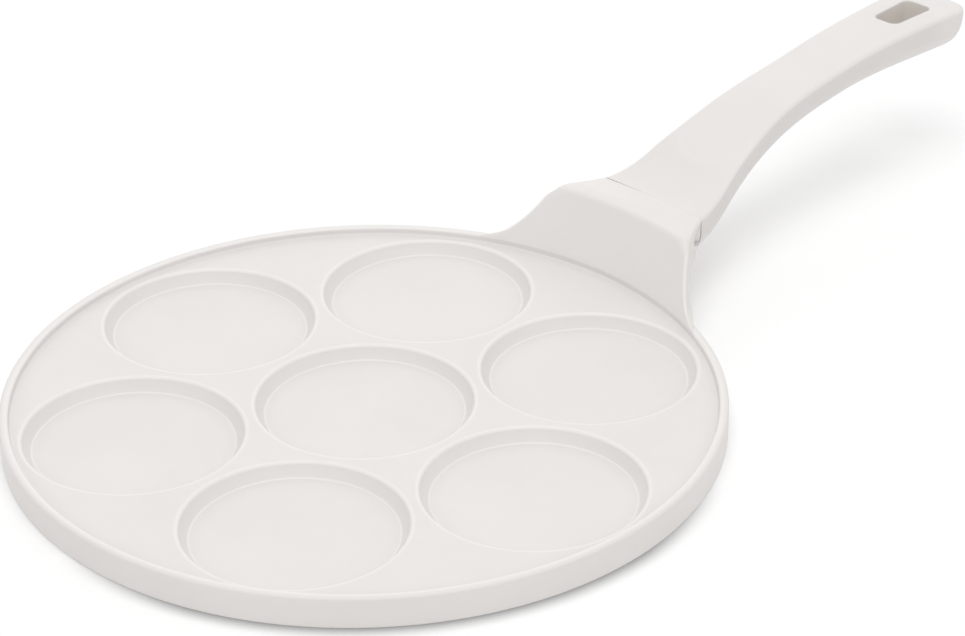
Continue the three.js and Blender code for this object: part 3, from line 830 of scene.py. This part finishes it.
disc = bmesh.new()
bmesh.ops.create_circle(disc, cap_ends=False, segments=RIM_STEPS, radius=DISC_RADIUS)
for place in stud_places:
    bmesh.ops.create_circle(disc, cap_ends=False, segments=STUD_STEPS,
                            radius=STUD_RADIUS + PRESS_GAP, matrix=Matrix.Translation(place))
bmesh.ops.triangle_fill(disc, use_beauty=True, edges=disc.edges, normal=(0, 0, 1))
sheet = bmesh.ops.extrude_face_region(disc, geom=disc.faces[:], use_keep_orig=True)
upper_side = only(bmesh.types.BMVert, sheet["geom"])
bmesh.ops.translate(disc, vec=(0, 0, DISC_THICKNESS), verts=upper_side)
bmesh.ops.recalc_face_normals(disc, faces=disc.faces)
bevel(disc, sharp_edges(disc), PUNCH_ROUND, PUNCH_STEPS)
finish(disc, "induction_disc", "base_disc", [rolled_steel])

# %% [markdown]
# ## The handle's lines
# The handle is moulded: it climbs from the seam in a soft bend, narrows to a waist and
# widens to the butt. Three lines of knots along it give its top, its half width and its
# depth. The top is a little crowned and carries a shallow dish for the thumb, which ends in
# an arch towards the pan. A function moves any point of a straight bar to these lines.

# %% Lines of the handle
HANDLE_LENGTH = 178.2
TOP_LINE = ((0, 0, 0), (21, 6.1, 0.56), (46, 16.5, 0.36), (HANDLE_LENGTH - 78, 26.3, 0.13),
            (HANDLE_LENGTH - 24, 28.9, 0), (HANDLE_LENGTH, 28.5, 0))
HALF_WIDTH = ((0, 25.8, -0.22), (31, 19.1, -0.18), (HANDLE_LENGTH - 88, 14.1, 0),
              (HANDLE_LENGTH - 24, 15.8, 0.04), (HANDLE_LENGTH, 16.4, 0))
DEPTH = ((0, ROOT_DEPTH, 0), (21, 17.8, 0), (44, 16.7, -0.01), (HANDLE_LENGTH - 83, 15.4, 0),
         (HANDLE_LENGTH - 10, 17.4, 0))
BAR_HALF, BAR_DEPTH = 20, 18
CROWN, CROWN_FADE = 0.5, 16
TIP_CORNER, TIP_DEPTH, TIP_EDGE = 7.5, 4.5, 2.0
STERN = 10
DISH_NOSE, DISH_REACH, DISH_HALF = 23.5, 12, 15.5
DISH_DEPTH, DISH_BRIM, DISH_FADE = 0.45, 0.14, 60
SEAM_LEFT, SEAM_RIGHT, SEAM_FLANK, SEAM_OPENS = 0.52, 0.04, 0.08, 1


def dish(along, across):
    """Depth of the thumb rest below the crowned top."""
    nose = max(DISH_NOSE + DISH_REACH - along, 0) / DISH_REACH
    inside = 1 - math.hypot(nose, across / DISH_HALF)
    fade = 1 - ease(along, DISH_NOSE + DISH_REACH, DISH_FADE)
    return DISH_DEPTH * ease(inside, 0, DISH_BRIM) * fade


def seam_gap(y, below):
    """How far the handle's end stands off the saddle: wider to the left and on the flanks."""
    gap = SEAM_RIGHT + (SEAM_LEFT - SEAM_RIGHT) * ease(y, SEAM_OPENS, SEAM_HALF)
    return gap + SEAM_FLANK * ease(below, TOP_EDGE, ROOT_DEPTH / 3)


def handle_point(p):
    """Where a point of the straight bar goes on the handle."""
    along = p.x
    corner = max(along - (HANDLE_LENGTH - TIP_CORNER), 0)
    half = curve(HALF_WIDTH, along) - tuck(TIP_CORNER - corner, TIP_CORNER)
    stern = max(along - (HANDLE_LENGTH - STERN), 0) / STERN
    deep = TIP_DEPTH + (curve(DEPTH, along) - TIP_DEPTH) * math.sqrt(max(1 - stern**2, 0))
    top = SADDLE_Z + curve(TOP_LINE, along)
    in_top = p.z > -TOP_EDGE - TINY
    edge = TOP_EDGE if in_top else BELLY_ROUND
    keep = 1 if in_top else min(1, (min(half, deep) - TOP_EDGE) / BELLY_ROUND)
    flat = BAR_HALF - edge
    if abs(p.y) <= flat:
        y = p.y * (half - edge * keep) / flat
    else:
        y = math.copysign(1, p.y) * (half - (BAR_HALF - abs(p.y)) * keep)
    if in_top:
        z = top + p.z
        z += CROWN * ease(along, 0, CROWN_FADE) * (1 - (y / half) ** 2)
        if p.z > -TINY:
            z -= dish(along, y)
        z -= tuck(HANDLE_LENGTH - along, TIP_EDGE) * (1 + p.z / TOP_EDGE)
    else:
        z = top - deep + (p.z + BAR_DEPTH) * keep
    x = seam_x(y) + seam_gap(y, -p.z) if along < TINY else SEAM_X + along
    return Vector((x, y, z))


print("handle's half width at seam, waist and butt, mm:",
      [round(curve(HALF_WIDTH, x), 1) for x in (0, HANDLE_LENGTH / 2, HANDLE_LENGTH)])

# %% [markdown]
# ## The handle's bar
# A curve with a bevel object could make the handle, but its section changes all along. So a
# straight bar has its long edges bevelled first, while that is easy, and is cut into slices
# by planes. Then every point is moved to its place. The slices are closest at the thumb
# rest's nose and at the tip, where the surface turns fastest.

# %% Bar of the handle
ACROSS_SLICES = 36
ROOT_SLICE, ROOT_SLICES = 1.5, 9
NOSE_START, NOSE_SLICE, NOSE_SLICES = 14, 0.9, 36
WAIST_START, WAIST_SLICES = 47, 50
STERN_SLICES, TIP_SLICES = 14, 6
SLICE_WELD = 1e-4


def end_slices(reach, count):
    """Places before the tip that crowd together as a round end needs."""
    return [HANDLE_LENGTH - reach * (1 - math.sin(math.pi / 2 * k / count)) for k in range(count)]


def slice_bar(bar, place, normal):
    """Adds a line of edges where a plane crosses the bar."""
    bmesh.ops.bisect_plane(bar, geom=bar.verts[:] + bar.edges[:] + bar.faces[:],
                           dist=SLICE_WELD, plane_co=place, plane_no=normal)


def handle_bar():
    """The bar, rounded and sliced, then moved to the handle's lines."""
    bar = box((HANDLE_LENGTH, 2 * BAR_HALF, BAR_DEPTH), (HANDLE_LENGTH / 2, 0, -BAR_DEPTH / 2))
    round_bar(bar, 0)
    for y in spaced(-BAR_HALF + TOP_EDGE, BAR_HALF - TOP_EDGE, ACROSS_SLICES)[1:]:
        slice_bar(bar, (0, y, 0), (0, 1, 0))
    places = [ROOT_SLICE * i for i in range(1, ROOT_SLICES + 1)]
    places += [NOSE_START + NOSE_SLICE * i for i in range(NOSE_SLICES)]
    places += spaced(WAIST_START, HANDLE_LENGTH - STERN, WAIST_SLICES)
    places += end_slices(STERN, STERN_SLICES) + end_slices(TIP_EDGE, TIP_SLICES)
    for x in sorted(places):
        slice_bar(bar, (x, 0, 0), (1, 0, 0))
    for v in bar.verts:
        v.co = handle_point(v.co)
    return bar


handle = handle_bar()
print("handle:", len(handle.faces), "faces, open edges:", open_edges(handle))

# %% [markdown]
# ## The hang slot
# A slot goes right through the butt, so the pan can hang on a hook. It could be cut straight
# and its rims bevelled, but a bevel after a cut on a curved face often fails. The tool that
# cuts it flares at both ends instead, which leaves rounded lips at once.

# %% Hang slot
SLOT_LENGTH, SLOT_END_WALL = 23.5, 13.7
SLOT_FRONT, SLOT_BACK = 5.8, 6.7
SLOT_CORNER, SLOT_CORNER_STEPS = 3, 8
SLOT_LIP, SLOT_LIP_STEPS = 0.7, 6
SLOT_CROWN, SLOT_RAISE, SLOT_BEYOND = 0.8, 0.1, 20
slot_middle = HANDLE_LENGTH - SLOT_END_WALL - SLOT_LENGTH / 2


def slot_ring(z, grow):
    """The slot's outline at one height, grown all round."""
    back = SEAM_X + HANDLE_LENGTH - SLOT_END_WALL + grow
    front = SEAM_X + HANDLE_LENGTH - SLOT_END_WALL - SLOT_LENGTH - grow
    front_half, back_half = SLOT_FRONT + grow, SLOT_BACK + grow
    flat = bmesh.new()
    corners = loop(flat, [(front, -front_half, z), (back, -back_half, z),
                          (back, back_half, z), (front, front_half, z)])
    face = bmesh.ops.contextual_create(flat, geom=corners)["faces"][0]
    bmesh.ops.bevel(flat, geom=list(face.verts), offset=SLOT_CORNER + grow,
                    offset_type="OFFSET", segments=SLOT_CORNER_STEPS, profile=0.5,
                    affect="VERTICES", material=-1)
    flat.faces.ensure_lookup_table()
    points = [v.co.copy() for v in flat.faces[0].verts]
    flat.free()
    return points


def slot_tool(top, bottom):
    """The solid that cuts the slot, flared at the handle's two faces."""
    turns = [math.pi / 2 * k / SLOT_LIP_STEPS for k in range(SLOT_LIP_STEPS + 1)]
    flare = [(SLOT_LIP * math.sin(a), SLOT_LIP * (1 - math.cos(a))) for a in turns]
    rings = [(bottom - SLOT_BEYOND, SLOT_LIP)]
    rings += [(bottom + SLOT_LIP - rise, grow) for rise, grow in reversed(flare)]
    rings += [(top - SLOT_LIP + rise, grow) for rise, grow in flare]
    rings += [(top + SLOT_BEYOND, SLOT_LIP)]
    return loft([slot_ring(z, grow) for z, grow in rings])


butt_top = SADDLE_Z + curve(TOP_LINE, slot_middle)
slot_top = butt_top + CROWN * SLOT_CROWN
slot_bottom = butt_top - curve(DEPTH, slot_middle) + SLOT_RAISE
handle = combine(handle, slot_tool(slot_top, slot_bottom), "DIFFERENCE")
print("slot cut from", round(slot_bottom, 1), "to", round(slot_top, 1), "mm")

# %% [markdown]
# ## The socket, the screw's pocket and the finished handle
# The socket is the tenon again with a small gap all round, so both change together. A
# pocket from below takes the screw's head, and a narrow hole lets its shank through. The
# slot's walls are bare moulding, because the skin isn't sprayed inside. The flanks under
# the top edge get the edge value, which paints shade on them.

# %% Finished handle
SOCKET_GAP = 0.3
SEAT_WALL = 1.8
POCKET_RADIUS, POCKET_STEPS = 6.2, 48
SLOT_SPAN, UPRIGHT = 0.55, 0.5
FLANK_TOP, FLANK_LOW = 5, 13
seat = -(TENON_THICKNESS / 2 + SOCKET_GAP + SEAT_WALL)


def slot_wall(p, normal):
    """True on the walls of the hang slot."""
    along = abs(p.x - SEAM_X - slot_middle) < SLOT_LENGTH * SLOT_SPAN
    return along and abs(p.y) < SLOT_BACK + SLOT_LIP / 2 and abs(normal.z) < UPRIGHT


def painted_flank_shade(p):
    """1 on the flanks under the handle's top edge, where shade is painted, and 0 on its top,
    belly and tip.
    """
    along = p.x - SEAM_X
    below = SADDLE_Z + curve(TOP_LINE, along) - p.z
    under_edge = ease(below, TOP_EDGE / 3, TOP_EDGE) * (1 - ease(below, FLANK_TOP, FLANK_LOW))
    return under_edge * (1 - ease(along, HANDLE_LENGTH - 3 * STERN, HANDLE_LENGTH - STERN))


for tool in (tenon_bar(TENON_LENGTH + SOCKET_GAP, SOCKET_GAP),
             rod(POCKET_RADIUS, seat - ROOT_DEPTH, seat, POCKET_STEPS, screw_frame),
             rod(BORE, seat - ROOT_DEPTH, 0, BORE_STEPS, screw_frame)):
    handle = combine(handle, tool, "DIFFERENCE")
paint(handle, slot_wall)
# The edge value paints shade on the handle's flanks under its top edge.
finish(handle, "moulded_grip", "handle_grip", [soft_touch, bare_moulding],
       edge_value=painted_flank_shade)

# %% [markdown]
# ## The screw
# One pan-head screw with a cross recess holds the handle from below. It is a turned shape,
# so a short chain is spun about the screw's axis and its rings are bevelled. Two crossed
# blocks cut the recess. It is made upright and then moved into the screw's tilted frame.

# %% Screw
STACK_GAP = 0.1
FLAT_RADIUS, FLAT_THICKNESS = 5.4, 0.7
SPLIT_RADIUS, SPLIT_THICKNESS, SPLIT_SLIT = 4.4, 1.0, 1.2
HEAD_RADIUS, HEAD_HEIGHT = 4.6, 2.4
HEAD_ROUND, HEAD_ROUND_STEPS = 0.9, 6
HEAD_EDGE, HEAD_EDGE_STEPS = 0.15, 2
SHANK_CHAMFER = 0.8
CROSS_LENGTH, CROSS_WIDTH, CROSS_HEIGHT = 5.2, 1.1, 2.8
SCREW_STEPS = 48
FASTENER_SHARP = 30
flat_top = seat - STACK_GAP
split_top = flat_top - FLAT_THICKNESS - STACK_GAP
head_top = split_top - SPLIT_THICKNESS - STACK_GAP
head_low = head_top - HEAD_HEIGHT
shank_top = TENON_THICKNESS / 2


def screw_shape():
    """The screw about Z, head down."""
    bm = bmesh.new()
    shank_end = SCREW_RADIUS - SHANK_CHAMFER
    turn(bm, [(HEAD_RADIUS, head_low), (HEAD_RADIUS, head_top), (SCREW_RADIUS, head_top),
              (SCREW_RADIUS, shank_top - SHANK_CHAMFER), (shank_end, shank_top)], SCREW_STEPS)
    for radius, height in ((HEAD_RADIUS, head_low), (shank_end, shank_top)):
        bmesh.ops.contextual_create(bm, geom=ring_edges(bm, radius, height))
    bevel(bm, ring_edges(bm, HEAD_RADIUS, head_low), HEAD_ROUND, HEAD_ROUND_STEPS)
    bevel(bm, ring_edges(bm, HEAD_RADIUS, head_top), HEAD_EDGE, HEAD_EDGE_STEPS)
    bmesh.ops.recalc_face_normals(bm, faces=bm.faces)
    for arm in ((CROSS_LENGTH, CROSS_WIDTH), (CROSS_WIDTH, CROSS_LENGTH)):
        bm = combine(bm, box((*arm, CROSS_HEIGHT), (0, 0, head_low)), "DIFFERENCE")
    return bm


def finish_fastener(shape, name, node):
    """Moves a fastener into the screw's frame and makes it a piece."""
    bmesh.ops.transform(shape, matrix=screw_frame, verts=shape.verts)
    finish(shape, name, node, [zinc], FASTENER_SHARP)


finish_fastener(screw_shape(), "pan_head_screw", "handle_screw")

# %% [markdown]
# ## The washers
# The screw's head sits on a split spring washer, which keeps it tight, over a flat one that
# spreads the load on the moulding. Each is a small rectangle spun about the screw's axis.
# The flat washer closes on itself. The split one stops short of a full turn, and its two
# ends are filled.

# %% Washers
WASHER_STEPS = 64


def washer_shape(outer, top, thickness, slit):
    """A washer about Z; a slit leaves it open on one side."""
    bm = bmesh.new()
    low = top - thickness
    section = loop(bm, [(BORE, 0, low), (outer, 0, low), (outer, 0, top), (BORE, 0, top)])
    gap = 2 * math.asin(slit / 2 / SPLIT_RADIUS)
    bmesh.ops.rotate(bm, verts=bm.verts, cent=(0, 0, 0), matrix=Matrix.Rotation(gap / 2, 3, "Z"))
    swept = bmesh.ops.spin(bm, geom=bm.verts[:] + section, cent=(0, 0, 0), axis=(0, 0, 1),
                           dvec=(0, 0, 0), angle=math.tau - gap, steps=WASHER_STEPS,
                           use_merge=slit == 0)
    if slit:
        for end in (section, only(bmesh.types.BMEdge, swept["geom_last"])):
            bmesh.ops.contextual_create(bm, geom=end)
    bmesh.ops.recalc_face_normals(bm, faces=bm.faces)
    bevel(bm, sharp_edges(bm), PUNCH_ROUND, PUNCH_STEPS)
    return bm


flat_washer = washer_shape(FLAT_RADIUS, flat_top, FLAT_THICKNESS, 0)
finish_fastener(flat_washer, "plain_washer", "flat_washer")
split_washer = washer_shape(SPLIT_RADIUS, split_top, SPLIT_THICKNESS, SPLIT_SLIT)
finish_fastener(split_washer, "split_washer", "lock_washer")

# %% [markdown]
# ## The floor
# The pan stands on a plain white sheet. A shadow catcher could give the shadow alone, but it
# has to be laid on white afterwards. So the floor is mostly lit paper, which keeps the
# shadow by itself. It glows a little, and a little more to the camera and in reflections,
# so that it is white where no shadow falls. Ambient Occlusion darkens the last millimetres
# before the pan, where the photograph has a fine dark line.

# %% Paper floor
FLOOR_HALF = 6
PAPER = 0.84
PAPER_GLOW, SEEN_GLOW = 0.05, 0.217
CONTACT_REACH, CONTACT_SAMPLES = 0.0068, 16
CONTACT_TONE, CONTACT_OPEN = 0.31, (0.5, 1)
CONTACT_SIDE, CONTACT_FADE = (-0.555, -0.832, 0), (0.5, 0.8)


def front_of_pan(nodes, links, coords):
    """A number that goes from 1 straight before the pan to -1 behind it."""
    bearing = nodes.new("ShaderNodeVectorMath")
    bearing.operation = "NORMALIZE"
    links.new(coords.outputs["Object"], bearing.inputs[0])
    facing = nodes.new("ShaderNodeVectorMath")
    facing.operation = "DOT_PRODUCT"
    facing.inputs[1].default_value = CONTACT_SIDE
    links.new(bearing.outputs["Vector"], facing.inputs[0])
    return facing.outputs["Value"]


def seen_rays(nodes, links, path):
    """1 for the camera and for what metal or glass shows, and 0 for other light."""
    seen = path.outputs["Is Camera Ray"]
    for ray in ("Is Glossy Ray", "Is Transmission Ray"):
        either = nodes.new("ShaderNodeMath")
        either.operation = "MAXIMUM"
        links.new(seen, either.inputs[0])
        links.new(path.outputs[ray], either.inputs[1])
        seen = either.outputs["Value"]
    return seen


def contact_shade(nodes, links, coords, path):
    """A number that is 1 on open paper and less in the last millimetres before the pan."""
    front_seen = nodes.new("ShaderNodeMath")
    front_seen.operation = "MULTIPLY"
    links.new(front_of_pan(nodes, links, coords), front_seen.inputs[0])
    links.new(path.outputs["Is Camera Ray"], front_seen.inputs[1])
    darkest = map_range(nodes, links, front_seen.outputs["Value"], CONTACT_FADE,
                        (1, CONTACT_TONE))
    near = nodes.new("ShaderNodeAmbientOcclusion")
    near.samples = CONTACT_SAMPLES
    near.inputs["Distance"].default_value = CONTACT_REACH
    shade = map_range(nodes, links, near.outputs["AO"], CONTACT_OPEN, (0, 1))
    links.new(darkest, shade.node.inputs["To Min"])
    return shade


def make_paper():
    """White paper that is lit, glows a little and is darker just before the pan."""
    material, nodes, links, paper, coords = start_material("white_paper")
    paper.inputs["Roughness"].default_value = 1
    paper.inputs["Specular IOR Level"].default_value = 0
    paper.inputs["Emission Color"].default_value = (1, 1, 1, 1)
    path = nodes.new("ShaderNodeLightPath")
    shade = contact_shade(nodes, links, coords, path)
    colour = blend_colours(nodes, links, shade, (0, 0, 0), (PAPER, PAPER, PAPER))
    links.new(colour, paper.inputs["Base Color"])
    glow = map_range(nodes, links, seen_rays(nodes, links, path), (0, 1), (PAPER_GLOW, SEEN_GLOW))
    links.new(glow, paper.inputs["Emission Strength"])
    return material


def make_floor():
    """A wide white floor."""
    bm = bmesh.new()
    bmesh.ops.create_grid(bm, x_segments=1, y_segments=1, size=FLOOR_HALF)
    mesh = bpy.data.meshes.new("floor")
    bm.to_mesh(mesh)
    bm.free()
    mesh.materials.append(make_paper())
    floor = bpy.data.objects.new("floor", mesh)
    bpy.context.scene.collection.objects.link(floor)
    floor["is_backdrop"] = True


make_floor()
print("paper", PAPER, "glows", PAPER_GLOW, "and to the camera", SEEN_GLOW)

# %% [markdown]
# ## The light
# A photograph like this is lit by large white panels. A picture of a studio as the sky could
# do that, but the script reads no pictures. So the light is a white sky, a large soft lamp
# overhead, and weak ones all round that keep the walls a little darker than what faces up.
# The sky shows as full white to the camera and gives less than that as light.

# %% Sky and lamps
SKY = 0.635
LAMPS = (("overhead", (-0.13, -0.22, 2.5), 1.6, 18.0),
         ("front", (-1.3, -1.3, 0.45), 1.2, 1.5),
         ("left", (-1.8, 0.2, 0.5), 1.2, 1.3),
         ("right", (0.2, -1.8, 0.5), 1.2, 1.75),
         ("back", (1.6, 1.6, 0.95), 2.0, 7.2))
LAMP_AIM = Vector((0.08, 0, 0))


def make_sky():
    """A white sky, dimmer for the light it gives than for what is seen."""
    world = bpy.data.worlds.new("sky")
    bpy.context.scene.world = world
    world.use_nodes = True
    nodes, links = world.node_tree.nodes, world.node_tree.links
    background = nodes["Background"]
    background.inputs["Color"].default_value = (1, 1, 1, 1)
    path = nodes.new("ShaderNodeLightPath")
    level = map_range(nodes, links, seen_rays(nodes, links, path), (0, 1), (SKY, 1))
    links.new(level, background.inputs["Strength"])


def make_lamp(name, place, size, watts):
    """A square lamp that faces the middle of the part."""
    data = bpy.data.lights.new(name, "AREA")
    data.shape, data.size, data.energy = "SQUARE", size, watts
    lamp = bpy.data.objects.new(name, data)
    facing = (LAMP_AIM - Vector(place)).to_track_quat("-Z", "Y").to_matrix().to_4x4()
    lamp.matrix_world = Matrix.Translation(place) @ facing
    bpy.context.scene.collection.objects.link(lamp)


make_sky()
for lamp in LAMPS:
    make_lamp(*lamp)
bpy.context.scene.view_settings.view_transform = "Standard"
print("sky", SKY, "lamps", {name: watts for name, _, _, watts in LAMPS})

# %% [markdown]
# ## How much the box grows
# The box of the finished pieces is compared with the box of the solids, and how much it
# grows is printed. The finished pieces have to stay in the box of the solids.

# %% Compare the boxes and finish
new_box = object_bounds()
growth = [[round((b - a) / MM, 2) for a, b in zip(*pair)] for pair in zip(cad_box, new_box)]
print("box grows by mm:", growth)
